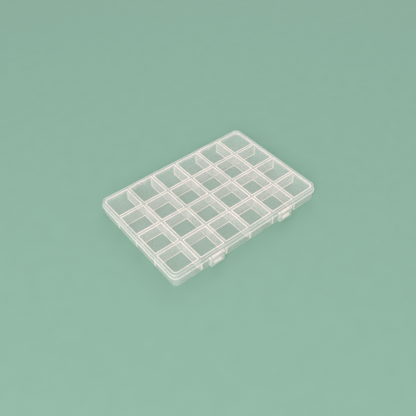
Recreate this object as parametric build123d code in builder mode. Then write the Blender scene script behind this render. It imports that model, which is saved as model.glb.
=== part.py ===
"""Clear compartment storage box: a base with 24 fixed compartments, a hinged lid and two latches.

Millimetres, +Z up, long side along X. The origin is the centre of the base's flat underside.
The latches are on the front, at -Y, and the hinge is on the back, at +Y.
Heights are above the underside. An "out" distance is measured outwards from the grid outline,
which is the rectangle of all the compartments, and is negative inside it.
"""
import os
from math import atan2, degrees

from build123d import *

# Compartment grid
columns = 6
rows = 4
pitch_x = 31.0
pitch_y = 32.0
corner_radius = 5.4

# Heights
box_height = 18.5
ledge_height = 11.4
lid_plate = 0.8
floor_thickness = 1.6

# Base walls, as distances out from the grid outline
foot_out = 0.2
ledge_out = 0.6
rim_out = -0.3
rim_thickness = 0.8
foot_round = 2.0
floor_round = 3.0
rim_chamfer = 0.3

# Dividers
divider_top = 1.0
divider_foot = 1.2
divider_root_flare = 0.6

# Lid
skirt_top_out = 0.9
skirt_bottom_out = 1.05
bead_out = 1.8
bead_height = 1.0
bead_round = 0.4
lid_edge_round = 0.8
rib_height = 0.8
rib_root = 1.1
rib_tip = 0.7
rib_from_divider = 1.54
rib_from_outline = 2.1
rib_corner_radius = 4.6

# Clearances
lid_side_clearance = 0.2
lid_top_clearance = 0.2
lid_ledge_clearance = 0.3
pivot_clearance = 0.08
knuckle_side_clearance = 0.3
hook_clearance = 0.2

# How far the lugs are sunk into their walls
lug_root_depth = 0.3

# Hinge at the back, two stations
hinge_x = 45.5
hinge_out = 3.6
hinge_height = 10.6
hinge_pin_radius = 1.1
hinge_clip_wall = 0.92
hinge_clip_width = 10.0
hinge_clip_mouth = 1.8
hinge_lug_radius = 1.7
hinge_lug_width = 2.2
hinge_lug_root = 3.8
hinge_clip_root = 1.8

# Latches at the front, two stations
latch_x = 45.5
latch_width = 17.5
latch_pivot_out = 3.0
latch_pivot_height = 14.6
latch_rod_radius = 0.8
latch_clip_wall = 0.72
latch_clip_mouth = 1.3
latch_lug_radius = 1.2
latch_lug_width = 1.5
latch_lug_root = 2.8
latch_plate = 1.2
latch_cheek = 1.2
latch_bottom = 3.6
latch_foot_radius = 1.2
latch_corner_radius = 1.6
hook_reach_out = 1.0
hook_thickness = 1.2
tab_width = 9.0
tab_top = 10.4
tab_bottom = 6.6
tab_lip = 0.6
tab_flare = 0.6
bead_gap_beside_latch = 0.6

# Catch bars on the base's front wall
catch_out = 2.1
catch_height = 6.0
catch_nose = 0.5
catch_slope = 1.8
catch_width = 12.5

# Worked out from the sizes above
half_x = columns * pitch_x / 2
half_y = rows * pitch_y / 2
plate_underside = box_height - lid_plate
rim_height = plate_underside - lid_top_clearance
skirt_bottom = ledge_height + lid_ledge_clearance
wall_inside_out = rim_out - rim_thickness
skirt_inside_out = rim_out + lid_side_clearance
hinge_clip_radius = hinge_pin_radius + pivot_clearance + hinge_clip_wall
latch_clip_radius = latch_rod_radius + pivot_clearance + latch_clip_wall
latch_plate_out = latch_pivot_out + latch_clip_radius
divider_end_out = rim_out - rim_thickness / 2
splayed_foot = divider_foot + 2 * divider_root_flare
divider_draft = degrees(atan2((divider_foot - divider_top) / 2, rim_height - floor_thickness))
rib_draft = degrees(atan2((rib_root - rib_tip) / 2, rib_height))
hinge_lug_x = (hinge_clip_width + hinge_lug_width) / 2 + knuckle_side_clearance
latch_lug_x = (latch_width - latch_lug_width) / 2 - latch_cheek - knuckle_side_clearance
latch_window_width = latch_lug_width + 2 * knuckle_side_clearance
latch_clip_width = 2 * latch_lug_x - latch_window_width
latch_plate_middle = (latch_pivot_height + latch_bottom) / 2
latch_outline_top = latch_pivot_height + latch_clip_radius + latch_corner_radius
hook_top = catch_height - hook_clearance
bead_gap_width = latch_width + 2 * bead_gap_beside_latch


def outline(out):
    """Add the box's rounded outline, so far out from the grid outline, to the current sketch."""
    RectangleRounded(2 * (half_x + out), 2 * (half_y + out), corner_radius + out)


def compartment_rectangles(from_divider, from_outline):
    """Add one rectangle per compartment, set in from the divider lines and the grid outline."""
    for column in range(columns):
        left = -half_x + column * pitch_x
        left += from_outline if column == 0 else from_divider
        right = -half_x + (column + 1) * pitch_x
        right -= from_outline if column == columns - 1 else from_divider
        for row in range(rows):
            near = -half_y + row * pitch_y
            near += from_outline if row == 0 else from_divider
            far = -half_y + (row + 1) * pitch_y
            far -= from_outline if row == rows - 1 else from_divider
            with Locations(((left + right) / 2, (near + far) / 2)):
                Rectangle(right - left, far - near)
    RectangleRounded(
        2 * (half_x - from_outline),
        2 * (half_y - from_outline),
        rib_corner_radius + rib_from_outline - from_outline,
        mode=Mode.INTERSECT,
    )


def front(out):
    """The y of a point on the front side, so far out from the grid outline."""
    return -half_y - out


def back(out):
    """The y of a point on the back side, so far out from the grid outline."""
    return half_y + out


def section_plane(x):
    """The plane square to X at x: its own x runs along +Y and its own y along +Z."""
    return Plane.YZ.offset(x)


def lug_outline(pivot_y, pivot_z, radius, root_y, root_low, root_high):
    """Add the side view of a lug: round at its pivot and running straight back into its wall."""
    with Locations((pivot_y, pivot_z)):
        Circle(radius)
    with Locations((root_y, (root_low + root_high) / 2)):
        Rectangle(lug_root_depth, root_high - root_low)
    make_hull()


# Inside of the base: one hollow, rounded where the floor meets the outer walls
with BuildPart() as hollow:
    with BuildSketch(Plane.XY.offset(floor_thickness)):
        outline(wall_inside_out)
    extrude(amount=rim_height - floor_thickness)
    fillet(hollow.faces().sort_by(Axis.Z)[0].edges(), radius=floor_round)
    with BuildSketch(Plane.XY.offset(rim_height - rim_chamfer)):
        outline(wall_inside_out)
    with BuildSketch(Plane.XY.offset(rim_height)):
        outline(wall_inside_out + rim_chamfer)
    loft()


# Base: drafted walls up to the ledge, a thinner rim above it, dividers, catch bars and hinge lugs
with BuildPart() as base:
    with BuildSketch(Plane.XY):
        outline(foot_out)
    with BuildSketch(Plane.XY.offset(ledge_height)):
        outline(ledge_out)
    loft()
    fillet(base.faces().sort_by(Axis.Z)[0].edges(), radius=foot_round)
    with BuildSketch(Plane.XY.offset(ledge_height)):
        outline(rim_out)
    extrude(amount=rim_height - ledge_height)
    add(hollow.part, mode=Mode.SUBTRACT)

    with BuildSketch(Plane.XY.offset(floor_thickness)):
        with GridLocations(pitch_x, 0, columns - 1, 1):
            Rectangle(divider_foot, 2 * (half_y + divider_end_out))
    extrude(amount=rim_height - floor_thickness, taper=divider_draft)
    with BuildSketch(Plane.XY.offset(floor_thickness)):
        with GridLocations(0, pitch_y, 1, rows - 1):
            Rectangle(2 * (half_x + divider_end_out), divider_foot)
    extrude(amount=rim_height - floor_thickness, taper=divider_draft)

    # Splayed feet, where the dividers meet the floor
    with BuildSketch(Plane.XY.offset(floor_thickness)):
        with GridLocations(pitch_x, 0, columns - 1, 1):
            Rectangle(splayed_foot, 2 * (half_y + divider_end_out))
        with GridLocations(0, pitch_y, 1, rows - 1):
            Rectangle(2 * (half_x + divider_end_out), splayed_foot)
    extrude(amount=divider_root_flare, taper=45)

    for x in (-latch_x, latch_x):
        with BuildSketch(section_plane(x)):
            with BuildLine():
                Polyline(
                    (front(foot_out), catch_height),
                    (front(catch_out), catch_height),
                    (front(catch_out), catch_height + catch_nose),
                    (front(foot_out), catch_height + catch_nose + catch_slope),
                    close=True,
                )
            make_face()
        extrude(amount=catch_width / 2, both=True)

    for x in (-hinge_x, hinge_x):
        for side in (-1, 1):
            with BuildSketch(section_plane(x + side * hinge_lug_x)):
                lug_outline(
                    back(hinge_out),
                    hinge_height,
                    hinge_lug_radius,
                    back(foot_out - lug_root_depth / 2),
                    hinge_height - hinge_lug_root,
                    hinge_height,
                )
            extrude(amount=hinge_lug_width / 2, both=True)
        with BuildSketch(section_plane(x)):
            with Locations((back(hinge_out), hinge_height)):
                Circle(hinge_pin_radius)
        extrude(amount=hinge_lug_x, both=True)

base.part.label = "base"


# Rib frames under the lid: one shallow drafted frame per compartment, beside the dividers' tops
with BuildPart() as rib_frames:
    with BuildSketch(Plane.XY.offset(plate_underside - rib_height)):
        compartment_rectangles(rib_from_divider - rib_tip / 2, rib_from_outline - rib_tip / 2)
    extrude(amount=rib_height, taper=-rib_draft)
    with BuildSketch(Plane.XY.offset(plate_underside - rib_height)):
        compartment_rectangles(rib_from_divider + rib_tip / 2, rib_from_outline + rib_tip / 2)
    extrude(amount=rib_height, taper=rib_draft, mode=Mode.SUBTRACT)


# Lid: plate and skirt in one drafted shell, a bead round the skirt, lugs and rods, hinge clips
with BuildPart() as lid:
    with BuildSketch(Plane.XY.offset(skirt_bottom)):
        outline(skirt_bottom_out)
    with BuildSketch(Plane.XY.offset(box_height)):
        outline(skirt_top_out)
    loft()
    fillet(lid.faces().sort_by(Axis.Z)[-1].edges(), radius=lid_edge_round)
    with BuildSketch(Plane.XY.offset(skirt_bottom)):
        outline(bead_out)
        for x in (-latch_x, latch_x):
            with Locations((x, front(bead_out))):
                Rectangle(bead_gap_width, 2 * (bead_out - skirt_bottom_out), mode=Mode.SUBTRACT)
    extrude(amount=bead_height)
    fillet(lid.faces().sort_by(Axis.Z)[0].outer_wire().edges(), radius=bead_round)
    with BuildSketch(Plane.XY.offset(skirt_bottom)):
        outline(skirt_inside_out)
    extrude(amount=plate_underside - skirt_bottom, mode=Mode.SUBTRACT)
    add(rib_frames.part)

    for x in (-latch_x, latch_x):
        for side in (-1, 1):
            with BuildSketch(section_plane(x + side * latch_lug_x)):
                lug_outline(
                    front(latch_pivot_out),
                    latch_pivot_height,
                    latch_lug_radius,
                    front(skirt_top_out - lug_root_depth / 2),
                    latch_pivot_height - latch_lug_root / 2,
                    latch_pivot_height + latch_lug_root / 2,
                )
            extrude(amount=latch_lug_width / 2, both=True)
        with BuildSketch(section_plane(x)):
            with Locations((front(latch_pivot_out), latch_pivot_height)):
                Circle(latch_rod_radius)
        extrude(amount=latch_lug_x, both=True)

    for x in (-hinge_x, hinge_x):
        with BuildSketch(section_plane(x)):
            lug_outline(
                back(hinge_out),
                hinge_height,
                hinge_clip_radius,
                back(skirt_top_out - lug_root_depth / 2),
                skirt_bottom + bead_height,
                skirt_bottom + bead_height + hinge_clip_root,
            )
        extrude(amount=hinge_clip_width / 2, both=True)
        with BuildSketch(section_plane(x)):
            with Locations((back(hinge_out), hinge_height)):
                Circle(hinge_pin_radius + pivot_clearance)
            with Locations((back(hinge_out), hinge_height - hinge_clip_radius)):
                Rectangle(hinge_clip_mouth, 2 * hinge_clip_radius)
        extrude(amount=hinge_clip_width / 2, both=True, mode=Mode.SUBTRACT)

lid.part.label = "lid"


# Latches: clip round the lid's rod, plate, two cheeks, hook under the catch bar, finger ridge
latches = {}
for name, x in (("latch_left", -latch_x), ("latch_right", latch_x)):
    with BuildPart() as latch:
        with BuildSketch(section_plane(x)):
            with Locations((front(latch_plate_out - latch_plate / 2), latch_plate_middle)):
                Rectangle(latch_plate, latch_pivot_height - latch_bottom)
        extrude(amount=latch_width / 2, both=True)
        with BuildSketch(section_plane(x)):
            with BuildLine():
                Polyline(
                    (front(latch_plate_out - latch_plate / 2), hook_top),
                    (front(hook_reach_out), hook_top),
                    (front(hook_reach_out), hook_top - hook_thickness / 2),
                    (front(hook_reach_out + hook_thickness / 2), hook_top - hook_thickness),
                    (front(latch_plate_out - latch_plate / 2), hook_top - hook_thickness),
                    close=True,
                )
            make_face()
        extrude(amount=latch_width / 2, both=True)
        with BuildSketch(section_plane(x)):
            with BuildLine():
                Polyline(
                    (front(latch_plate_out - latch_plate / 2), tab_top),
                    (front(latch_plate_out), tab_top),
                    (front(latch_plate_out + tab_flare), tab_bottom + tab_lip),
                    (front(latch_plate_out + tab_flare), tab_bottom),
                    (front(latch_plate_out - latch_plate / 2), tab_bottom),
                    close=True,
                )
            make_face()
        extrude(amount=tab_width / 2, both=True)
        with BuildSketch(section_plane(x)):
            with Locations((front(latch_pivot_out), latch_pivot_height)):
                Circle(latch_clip_radius)
        extrude(amount=latch_clip_width / 2, both=True)

        # Windows for the lid's lugs, then the bore and its mouth
        for side in (-1, 1):
            with BuildSketch(section_plane(x + side * latch_lug_x)):
                with Locations((front(latch_pivot_out), latch_pivot_height)):
                    Rectangle(2 * latch_clip_radius, 2 * latch_clip_radius)
            extrude(amount=latch_window_width / 2, both=True, mode=Mode.SUBTRACT)
        with BuildSketch(section_plane(x)):
            with Locations((front(latch_pivot_out), latch_pivot_height)):
                Circle(latch_rod_radius + pivot_clearance)
            with Locations((front(latch_pivot_out - latch_clip_radius), latch_pivot_height)):
                Rectangle(2 * latch_clip_radius, latch_clip_mouth)
        extrude(amount=latch_clip_width / 2, both=True, mode=Mode.SUBTRACT)

        for side in (-1, 1):
            cheek_x = x + side * (latch_width - latch_cheek) / 2
            with BuildSketch(section_plane(cheek_x)):
                with Locations((front(latch_pivot_out), latch_pivot_height)):
                    Circle(latch_clip_radius)
                with Locations(
                    (front(latch_plate_out - latch_foot_radius), latch_bottom + latch_foot_radius)
                ):
                    Circle(latch_foot_radius)
                make_hull()
            extrude(amount=latch_cheek / 2, both=True)

        # Rounded lower corners, seen from the front
        with BuildSketch(Plane.XZ):
            with Locations((x, (latch_bottom + latch_outline_top) / 2)):
                RectangleRounded(latch_width, latch_outline_top - latch_bottom, latch_corner_radius)
        extrude(amount=half_y + latch_plate_out + tab_flare, both=True, mode=Mode.INTERSECT)
    latch.part.label = name
    latches[name] = latch.part


os.makedirs("parts", exist_ok=True)
export_step(base.part, "parts/base.step")
export_step(lid.part, "parts/lid.step")
for name, part in latches.items():
    export_step(part, f"parts/{name}.step")
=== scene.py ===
"""Clear compartment storage box on a plain pale floor, lit by soft studio lamps."""
import math

import bpy
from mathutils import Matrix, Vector


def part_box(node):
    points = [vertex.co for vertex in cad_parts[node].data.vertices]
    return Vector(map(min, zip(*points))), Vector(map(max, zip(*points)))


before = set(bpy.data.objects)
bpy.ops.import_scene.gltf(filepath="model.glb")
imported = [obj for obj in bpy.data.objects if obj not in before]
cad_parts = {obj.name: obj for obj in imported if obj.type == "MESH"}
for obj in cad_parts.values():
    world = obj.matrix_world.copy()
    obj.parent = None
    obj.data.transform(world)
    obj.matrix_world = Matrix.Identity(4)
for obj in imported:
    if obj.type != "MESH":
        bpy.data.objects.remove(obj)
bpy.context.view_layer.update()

# Sizes of the mouldings in metres. Heights are above the table. A distance OUT is measured from
# the rounded outline of the grid of compartments, and is negative inside it.
MM = 0.001
COLUMNS = 6
ROWS = 4
PITCH_X = 31.0 * MM
PITCH_Y = 32.0 * MM
HALF_X = COLUMNS * PITCH_X / 2
HALF_Y = ROWS * PITCH_Y / 2
CORNER_RADIUS = 5.4 * MM
BOX_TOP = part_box("lid")[1].z
BASE_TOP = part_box("base")[1].z
PLATE_UNDERSIDE = BOX_TOP - 0.8 * MM
RIB_TIP = PLATE_UNDERSIDE - 0.8 * MM
FLOOR_TOP = 1.6 * MM
SPLAY_TOP = 2.2 * MM
LEDGE_HEIGHT = 11.4 * MM
RIM_OUT = -0.3 * MM
WALL_INSIDE_OUT = -1.1 * MM
WALL_OUTSIDE_OUT = 0.8 * MM
HALF_DIVIDER = 0.6 * MM
HALF_SPLAY = 1.2 * MM
LATCH_ROD_HEIGHT = 14.6 * MM
LATCH_BOTTOM = 3.6 * MM
LATCH_PLATE_OUT = 4.6 * MM

# Limits of the regions that differ in haze and in painted highlight, with a margin that takes in
# drafted and rounded faces
INSIDE_FACE_OUT = (WALL_INSIDE_OUT - 1.5 * MM, RIM_OUT - 0.2 * MM)
OUTSIDE_FACE_OUT = (RIM_OUT - 0.1 * MM, WALL_OUTSIDE_OUT)
RIM_FACE_OUT = (WALL_INSIDE_OUT - 0.2 * MM, RIM_OUT)
RIM_FACE_HEIGHT = (BASE_TOP - 0.4 * MM, BOX_TOP)
DIVIDER_TOP_HEIGHT = (BASE_TOP - 0.1 * MM, BOX_TOP)
DIVIDER_END_WIDTH = (0.0, HALF_DIVIDER + 0.5 * MM)
CROSSING_WIDTH = (0.0, 1.6 * MM)
CROSSING_OUT = (-HALF_X, -5.0 * MM)
SPLAY_OUT = (-HALF_X, -2.5 * MM)
FOOT_HEIGHT = (0.2 * MM, 1.9 * MM)
FOOT_OUT = (-1.0 * MM, HALF_X)
# The foot's white line is partly thick plastic where floor and wall meet and partly a painted
# highlight for light bent at the foot.
FOOT_TURNED = (0.5, 1.0)  # the foot is white only where its face is turned well away
BASE_LUG_OUT = (0.9 * MM, HALF_X)
SKIRT_OUT = (RIM_OUT, HALF_X)
EDGE_HEIGHT = (PLATE_UNDERSIDE - 0.7 * MM, PLATE_UNDERSIDE + 0.2 * MM)
EDGE_OUT = (0.6 * MM, HALF_X)
BEAD_HEIGHT = (11.7 * MM, 12.7 * MM)
BEAD_OUT = (1.1 * MM, HALF_X)
LID_LUG_OUT = (2.0 * MM, HALF_X)
RIB_HEIGHT = (RIB_TIP, PLATE_UNDERSIDE - 0.2 * MM)
RIB_OUT = (-HALF_X, RIM_OUT - 0.3 * MM)
CLIP_HEIGHT = (LATCH_ROD_HEIGHT - 0.5 * MM, BOX_TOP)
LATCH_RIM_HEIGHT = (0.0, LATCH_BOTTOM + 0.6 * MM)
RIDGE_OUT = (LATCH_PLATE_OUT + 0.1 * MM, HALF_X)
LATCH_BLUR = 0.4 * MM
LATCH_EDGE_RADIUS = 0.3 * MM

# Haze of each region: the share of what lies behind that one surface veils, seen square on. Where a
# region is marked below, part of its whiteness is painted light.
BASE_HAZE_AND_HIGHLIGHT = {
    "thin": 0.05,
    # The outer wall faces get more haze than the inner faces, though the plastic is alike on both:
    # the extra whiteness outside is painted light for light that the front wall scatters and
    # reflects, and the clear inner faces keep the back row dark.
    "wall_inside": 0.015,
    "wall_outside": 0.125,
    "divider": 0.15,
    "crossing": 0.2,
    "divider_top": 0.18,
    "rim": 0.12,
    # Foot: partly thick plastic and partly a painted highlight, set high so that it stays bright in
    # the shade under the foot.
    "foot": 0.85,
    "divider_end": 0.62,
    "splay": 0.7,
    "lug": 0.3,
}
# The rib, edge and bead values are partly thick plastic and partly a painted highlight where
# rounded edges catch the light.
LID_HAZE_AND_HIGHLIGHT = {"thin": 0.042, "skirt": 0.08, "edge": 0.58, "bead": 0.5, "lug": 0.3, "rib": 0.72}
# The clip value is partly thick plastic and partly a painted highlight on the lit top of the clip;
# the edge value is a painted highlight on rounded edges.
LATCH_HAZE_AND_HIGHLIGHT = {"thin": 0.1, "clip": 0.45, "rim": 0.3, "edge": 0.4, "ridge": 0.6}

# Polypropylene and its surface: slow waves from the flow of the melt, and scuffs from handling.
# Real scuffs are hair-fine. They are drawn coarser here, so that they show in the render.
POLYPROPYLENE_IOR = 1.49
THIN_VEIL = "F3EFEE"
FLOW_SPACING = 30.0 * MM
FLOW_RELIEF = 0.6 * MM
SCUFF_SPACING = 1.5 * MM
SCUFF_DEPTH = 0.015 * MM
SCUFF_STRETCH = (0.15, 1.0, 1.0)
LEAST_COSINE = 0.12  # keeps the path through a wall seen edge on finite

# Studio
FLOOR_HALF_WIDTH = 4.0
FLOOR_GAP = 0.02 * MM
MOTTLES_PER_METRE = 60.0  # one patch in about 17 mm
SURROUNDINGS_STRENGTH = 0.7
CLEAR_LAYERS = 40  # a ray crosses many clear walls before it reaches the floor

# Camera of the photograph. The first three are in pixels, the sensor in millimetres.
IMAGE_SIZE = 416
FOCAL_LENGTH = 524.9
PRINCIPAL_POINT_RIGHT = 20.0
SENSOR_WIDTH = 36.0
CAMERA_AZIMUTH = math.radians(-40.23)
CAMERA_ELEVATION = math.radians(45.73)
CAMERA_DISTANCE = 553.7 * MM
CAMERA_RIGHT = 19.29 * MM
CAMERA_UP = -15.55 * MM
AIM_HEIGHT = 17.7 * MM


def linear(hex_colour):
    """The scene-linear RGBA of an sRGB hex colour such as F2EEEA."""
    channels = [int(hex_colour[i : i + 2], 16) / 255 for i in (0, 2, 4)]
    return [c / 12.92 if c <= 0.04045 else ((c + 0.055) / 1.055) ** 2.4 for c in channels] + [1.0]


def add(tree, kind, settings=None, inputs=None):
    """Adds a node, sets its properties, and sets or links its inputs."""
    node = tree.nodes.new(kind)
    for name, value in (settings or {}).items():
        setattr(node, name, value)
    for name, value in (inputs or {}).items():
        if isinstance(value, bpy.types.NodeSocket):
            tree.links.new(value, node.inputs[name])
        else:
            node.inputs[name].default_value = value
    return node


def new_material(name):
    """An empty node material and its node tree."""
    material = bpy.data.materials.new(name)
    material.use_nodes = True
    material.node_tree.nodes.clear()
    return material, material.node_tree


def place_in_moulding(tree):
    """Sockets for where a point of a moulding is.

    They are its height, how far out of the grid's outline it lies, and how far it is from the
    middle of the nearest divider and of the nearest crossing of dividers.
    """
    point = add(tree, "ShaderNodeTexCoord").outputs["Object"]
    axes = add(tree, "ShaderNodeSeparateXYZ", inputs={0: point})
    flat = add(tree, "ShaderNodeVectorMath", {"operation": "MULTIPLY"}, {0: point, 1: (1, 1, 0)})
    inset = (HALF_X - CORNER_RADIUS, HALF_Y - CORNER_RADIUS, 0)
    mirrored = add(tree, "ShaderNodeVectorMath", {"operation": "ABSOLUTE"}, {0: flat.outputs[0]})
    past = add(
        tree,
        "ShaderNodeVectorMath",
        {"operation": "SUBTRACT"},
        {0: mirrored.outputs[0], 1: inset},
    )
    beyond = add(
        tree,
        "ShaderNodeVectorMath",
        {"operation": "MAXIMUM"},
        {0: past.outputs[0], 1: (0, 0, 0)},
    )
    reach = add(tree, "ShaderNodeVectorMath", {"operation": "LENGTH"}, {0: beyond.outputs[0]})
    out = add(
        tree,
        "ShaderNodeMath",
        {"operation": "SUBTRACT"},
        {0: reach.outputs["Value"], 1: CORNER_RADIUS},
    )
    distances = []
    for axis, half, pitch in (("X", HALF_X, PITCH_X), ("Y", HALF_Y, PITCH_Y)):
        inner = half - pitch / 2
        held = add(
            tree,
            "ShaderNodeClamp",
            inputs={"Value": axes.outputs[axis], "Min": -inner, "Max": inner},
        )
        moved = add(tree, "ShaderNodeMath", {"operation": "ADD"}, {0: held.outputs[0], 1: half})
        near = add(
            tree,
            "ShaderNodeMath",
            {"operation": "PINGPONG"},
            {0: moved.outputs[0], 1: pitch / 2},
        )
        distances.append(near.outputs[0])
    pair = {0: distances[0], 1: distances[1]}
    divider = add(tree, "ShaderNodeMath", {"operation": "MINIMUM"}, pair)
    crossing = add(tree, "ShaderNodeMath", {"operation": "MAXIMUM"}, pair)
    return axes.outputs["Z"], out.outputs[0], divider.outputs[0], crossing.outputs[0]


def region(tree, *limits, blur=0.1 * MM):
    """A mask that is 1 where each value lies from its low to its high limit, softly bordered."""
    mask = 1.0
    for value, low, high in limits:
        for start, end in ((low - blur, low), (high + blur, high)):
            side = add(
                tree,
                "ShaderNodeMapRange",
                {"interpolation_type": "SMOOTHSTEP"},
                {"Value": value, "From Min": start, "From Max": end},
            )
            meet = add(
                tree, "ShaderNodeMath", {"operation": "MULTIPLY"}, {0: mask, 1: side.outputs[0]}
            )
            mask = meet.outputs[0]
    return mask


def sharp_edges(tree, radius):
    """A mask for a piece's sharp edges, where a rounded normal turns away from the true one."""
    rounded = add(tree, "ShaderNodeBevel", {"samples": 6}, {"Radius": radius})
    surface = add(tree, "ShaderNodeNewGeometry")
    agree = add(
        tree,
        "ShaderNodeVectorMath",
        {"operation": "DOT_PRODUCT"},
        {0: rounded.outputs[0], 1: surface.outputs["True Normal"]},
    )
    turned = add(
        tree,
        "ShaderNodeMapRange",
        inputs={"Value": agree.outputs["Value"], "From Min": 0.99, "From Max": 0.85},
    )
    return turned.outputs[0]


def haze_by_region(tree, hazes, masks):
    """The haze of the thin wall, replaced by each region's own haze where its mask is, painted
    highlights included.
    """
    haze = hazes["thin"]
    for name, mask in masks.items():
        mix = add(
            tree, "ShaderNodeMix", {"data_type": "FLOAT"}, {0: mask, 2: haze, 3: hazes[name]}
        )
        haze = mix.outputs[0]
    return haze


def veil(tree, haze, flow):
    """How much a surface hides of what lies behind it.

    The haze drifts a little along the flow of the melt, and light that slants through the wall
    meets more of it.
    """
    drift = add(
        tree,
        "ShaderNodeMapRange",
        inputs={"Value": flow, "From Min": 0.3, "From Max": 0.7, "To Min": 0.8, "To Max": 1.2},
    )
    uneven = add(
        tree, "ShaderNodeMath", {"operation": "MULTIPLY"}, {0: haze, 1: drift.outputs[0]}
    )
    facing = add(tree, "ShaderNodeLayerWeight", inputs={"Blend": 0.5}).outputs["Facing"]
    cosine = add(tree, "ShaderNodeMath", {"operation": "SUBTRACT"}, {0: 1.0, 1: facing})
    held = add(
        tree, "ShaderNodeMath", {"operation": "MAXIMUM"}, {0: cosine.outputs[0], 1: LEAST_COSINE}
    )
    path = add(tree, "ShaderNodeMath", {"operation": "DIVIDE"}, {0: 1.0, 1: held.outputs[0]})
    clear = add(tree, "ShaderNodeMath", {"operation": "SUBTRACT"}, {0: 1.0, 1: uneven.outputs[0]})
    through = add(
        tree,
        "ShaderNodeMath",
        {"operation": "POWER"},
        {0: clear.outputs[0], 1: path.outputs[0]},
    )
    hidden = add(tree, "ShaderNodeMath", {"operation": "SUBTRACT"}, {0: 1.0, 1: through.outputs[0]})
    return hidden.outputs[0]


def milky(tree, haze, thick_and_highlight_veil, smoothest, roughest):
    """A clear plastic with fine haze in it, whiter where it is thick and where a highlight is
    painted on, and faintly scuffed gloss.
    """
    point = add(tree, "ShaderNodeTexCoord").outputs["Object"]
    flow = add(
        tree,
        "ShaderNodeTexNoise",
        inputs={"Vector": point, "Scale": 1 / FLOW_SPACING, "Detail": 3.0, "Distortion": 0.8},
    )
    # The veil turns to the warm white of thick plastic and of the painted highlights as the haze
    # rises.
    colour = add(
        tree,
        "ShaderNodeMix",
        {"data_type": "RGBA"},
        {0: haze, 6: linear(THIN_VEIL), 7: linear(thick_and_highlight_veil)},
    )
    stretched = add(tree, "ShaderNodeMapping", inputs={"Vector": point, "Scale": SCUFF_STRETCH})
    scuffs = add(
        tree,
        "ShaderNodeTexNoise",
        inputs={
            "Vector": stretched.outputs[0],
            "Scale": 1 / SCUFF_SPACING,
            "Detail": 5.0,
            "Roughness": 0.65,
        },
    )
    gloss = add(
        tree,
        "ShaderNodeMapRange",
        inputs={
            "Value": scuffs.outputs[0],
            "From Min": 0.45,
            "From Max": 0.7,
            "To Min": smoothest,
            "To Max": roughest,
        },
    )
    waves = add(
        tree,
        "ShaderNodeBump",
        inputs={"Height": flow.outputs[0], "Strength": 0.4, "Distance": FLOW_RELIEF},
    )
    marks = add(
        tree,
        "ShaderNodeBump",
        inputs={
            "Height": scuffs.outputs[0],
            "Strength": 0.1,
            "Distance": SCUFF_DEPTH,
            "Normal": waves.outputs[0],
        },
    )
    surface = add(
        tree,
        "ShaderNodeBsdfPrincipled",
        inputs={
            "Base Color": colour.outputs[2],
            "Roughness": gloss.outputs[0],
            "IOR": POLYPROPYLENE_IOR,
            "Alpha": veil(tree, haze, flow.outputs[0]),
            "Normal": marks.outputs[0],
        },
    )
    add(tree, "ShaderNodeOutputMaterial", inputs={"Surface": surface.outputs[0]})


def base_plastic():
    """Clear polypropylene, injection moulded in a polished mould.

    The eye looks through the floor and the walls, and sees milky white where plastic is thick or is
    seen along its length: in the dividers' splayed feet and their ends in the outer wall, and more
    faintly in rims, crossings and hinge lugs. The white line round the foot of that wall is partly
    thick plastic and partly a painted highlight. The outer faces of the walls carry painted light
    as well.
    """
    material, tree = new_material("moulded_clear_polypropylene_base")
    height, out, near, crossing = place_in_moulding(tree)
    turned = add(tree, "ShaderNodeLayerWeight", inputs={"Blend": 0.5}).outputs["Facing"]
    at_divider = (near, 0.0, HALF_DIVIDER)
    above_splay = (height, SPLAY_TOP, BOX_TOP)
    masks = {
        # Outer wall faces whiter than inner ones: painted light.
        "wall_inside": region(tree, (out, *INSIDE_FACE_OUT), above_splay),
        "wall_outside": region(tree, (out, *OUTSIDE_FACE_OUT)),
        "divider": region(tree, at_divider, (out, -HALF_X, WALL_INSIDE_OUT)),
        "crossing": region(tree, (crossing, *CROSSING_WIDTH), above_splay, (out, *CROSSING_OUT)),
        "divider_top": region(tree, at_divider, (height, *DIVIDER_TOP_HEIGHT)),
        "rim": region(tree, (out, *RIM_FACE_OUT), (height, *RIM_FACE_HEIGHT)),
        # The foot's line: partly a painted highlight.
        "foot": region(tree, (height, *FOOT_HEIGHT), (out, *FOOT_OUT), (turned, *FOOT_TURNED)),
        "divider_end": region(
            tree,
            (near, *DIVIDER_END_WIDTH),
            (out, WALL_INSIDE_OUT, WALL_OUTSIDE_OUT),
            (height, 0.0, LEDGE_HEIGHT),
        ),
        "splay": region(
            tree, (near, 0.0, HALF_SPLAY), (height, FLOOR_TOP, SPLAY_TOP), (out, *SPLAY_OUT)
        ),
        "lug": region(tree, (out, *BASE_LUG_OUT)),
    }
    haze = haze_by_region(tree, BASE_HAZE_AND_HIGHLIGHT, masks)
    milky(tree, haze, thick_and_highlight_veil="FBEFE2", smoothest=0.16, roughest=0.32)
    return material


def lid_plastic():
    """Clear polypropylene, injection moulded, with the glossiest face of the box.

    The eye looks through the plate, and sees white lines at the rib frames, the plate's edge and
    the bead of the skirt: partly milkier thick plastic, partly a painted highlight where their
    rounded edges catch the light.
    """
    material, tree = new_material("moulded_clear_polypropylene_lid")
    height, out, _, _ = place_in_moulding(tree)
    masks = {
        "skirt": region(tree, (out, *SKIRT_OUT)),
        "edge": region(tree, (height, *EDGE_HEIGHT), (out, *EDGE_OUT)),
        "bead": region(tree, (height, *BEAD_HEIGHT), (out, *BEAD_OUT)),
        "lug": region(tree, (out, *LID_LUG_OUT)),
        # The white lines of edge, bead and rib are partly painted highlight.
        "rib": region(tree, (height, *RIB_HEIGHT), (out, *RIB_OUT)),
    }
    haze = haze_by_region(tree, LID_HAZE_AND_HIGHLIGHT, masks)
    milky(tree, haze, thick_and_highlight_veil="FCEDE7", smoothest=0.14, roughest=0.28)
    return material


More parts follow.
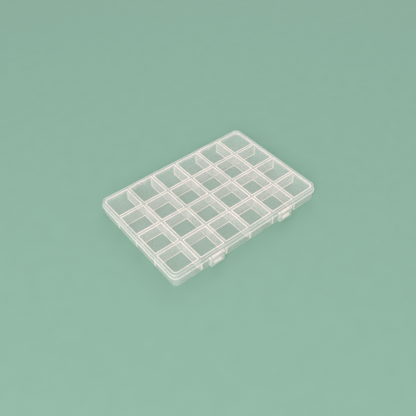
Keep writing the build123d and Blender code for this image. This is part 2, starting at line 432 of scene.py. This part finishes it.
def latch_plastic():
    """Milky polypropylene, injection moulded in a small thick part.

    The eye sees a whiter piece than the box, brightest in its clip, finger ridge and edges. The
    clip's whiteness is partly thick plastic and partly a painted highlight on its lit top, and the
    edges' whiteness is a painted highlight along rounded edges.
    """
    material, tree = new_material("moulded_milky_polypropylene_latch")
    height, out, _, _ = place_in_moulding(tree)
    masks = {
        # Partly a painted highlight on the lit top of the round clip.
        "clip": region(tree, (height, *CLIP_HEIGHT), blur=LATCH_BLUR),
        "rim": region(tree, (height, *LATCH_RIM_HEIGHT), blur=LATCH_BLUR),
        # Painted highlight along the latch's rounded edges.
        "edge": sharp_edges(tree, LATCH_EDGE_RADIUS),
        "ridge": region(tree, (out, *RIDGE_OUT)),
    }
    haze = haze_by_region(tree, LATCH_HAZE_AND_HIGHLIGHT, masks)
    milky(tree, haze, thick_and_highlight_veil="FFEADF", smoothest=0.2, roughest=0.4)
    return material


def floor_paint():
    """Matt paint sprayed on board: an even pale floor with the faintest mottling."""
    material, tree = new_material("sprayed_matt_board_floor")
    point = add(tree, "ShaderNodeTexCoord").outputs["Object"]
    mottle = add(
        tree,
        "ShaderNodeTexNoise",
        inputs={"Vector": point, "Scale": MOTTLES_PER_METRE, "Detail": 3.0},
    )
    colour = add(
        tree,
        "ShaderNodeMix",
        {"data_type": "RGBA"},
        {0: mottle.outputs[0], 6: linear("7C9F8E"), 7: linear("80A493")},
    )
    surface = add(
        tree,
        "ShaderNodeBsdfPrincipled",
        inputs={"Base Color": colour.outputs[2], "Roughness": 0.9},
    )
    add(tree, "ShaderNodeOutputMaterial", inputs={"Surface": surface.outputs[0]})
    return material


def add_floor():
    """A wide flat floor a hair's breadth under the box."""
    half = FLOOR_HALF_WIDTH
    mesh = bpy.data.meshes.new("studio_floor")
    corners = [(-half, -half, 0), (half, -half, 0), (half, half, 0), (-half, half, 0)]
    mesh.from_pydata(corners, [], [(0, 1, 2, 3)])
    floor = bpy.data.objects.new("studio_floor", mesh)
    bpy.context.scene.collection.objects.link(floor)
    floor.location.z = -FLOOR_GAP
    mesh.materials.append(floor_paint())


def add_lamp(name, position, size, power):
    """A square soft box that points at the middle of the box, in metres and watts."""
    lamp = bpy.data.lights.new(name, "AREA")
    lamp.size = size
    lamp.energy = power
    holder = bpy.data.objects.new(name, lamp)
    bpy.context.scene.collection.objects.link(holder)
    holder.location = position
    holder.rotation_euler = (-Vector(position)).to_track_quat("-Z", "Y").to_euler()


def light_studio():
    """Even pale surroundings and two soft boxes, the stronger one over the left front."""
    world = bpy.data.worlds.new("studio_surroundings")
    world.use_nodes = True
    background = world.node_tree.nodes["Background"]
    background.inputs["Color"].default_value = linear("F4F6F5")
    background.inputs["Strength"].default_value = SURROUNDINGS_STRENGTH
    bpy.context.scene.world = world
    add_lamp("key_soft_box", position=(-1.35, -1.1, 1.3), size=1.3, power=40.0)
    add_lamp("fill_soft_box", position=(1.2, 1.0, 1.6), size=1.4, power=12.0)


def add_camera():
    """The photograph's view: its direction, distance, lens and off-centre framing."""
    data = bpy.data.cameras.new("photo_camera")
    data.sensor_width = SENSOR_WIDTH
    data.lens = FOCAL_LENGTH / IMAGE_SIZE * SENSOR_WIDTH
    data.shift_x = -PRINCIPAL_POINT_RIGHT / IMAGE_SIZE
    camera = bpy.data.objects.new("photo_camera", data)
    bpy.context.scene.collection.objects.link(camera)
    back = Vector(
        (
            math.sin(CAMERA_AZIMUTH) * math.cos(CAMERA_ELEVATION),
            -math.cos(CAMERA_AZIMUTH) * math.cos(CAMERA_ELEVATION),
            math.sin(CAMERA_ELEVATION),
        )
    )
    right = (-back).cross(Vector((0, 0, 1))).normalized()
    up = right.cross(-back)
    camera.location = back * CAMERA_DISTANCE + right * CAMERA_RIGHT + up * CAMERA_UP
    camera.location.z += AIM_HEIGHT
    camera.rotation_euler = (-back).to_track_quat("-Z", "Y").to_euler()
    bpy.context.scene.camera = camera


def dress_mouldings():
    """Gives each moulding of the box its plastic."""
    latch = latch_plastic()
    finishes = {
        "base": base_plastic(),
        "lid": lid_plastic(),
        "latch_left": latch,
        "latch_right": latch,
    }
    for name, material in finishes.items():
        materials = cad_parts[name].data.materials
        materials.clear()
        materials.append(material)


dress_mouldings()
add_floor()
light_studio()
add_camera()
bpy.context.scene.view_settings.view_transform = "Standard"
bpy.context.scene.cycles.transparent_max_bounces = CLEAR_LAYERS
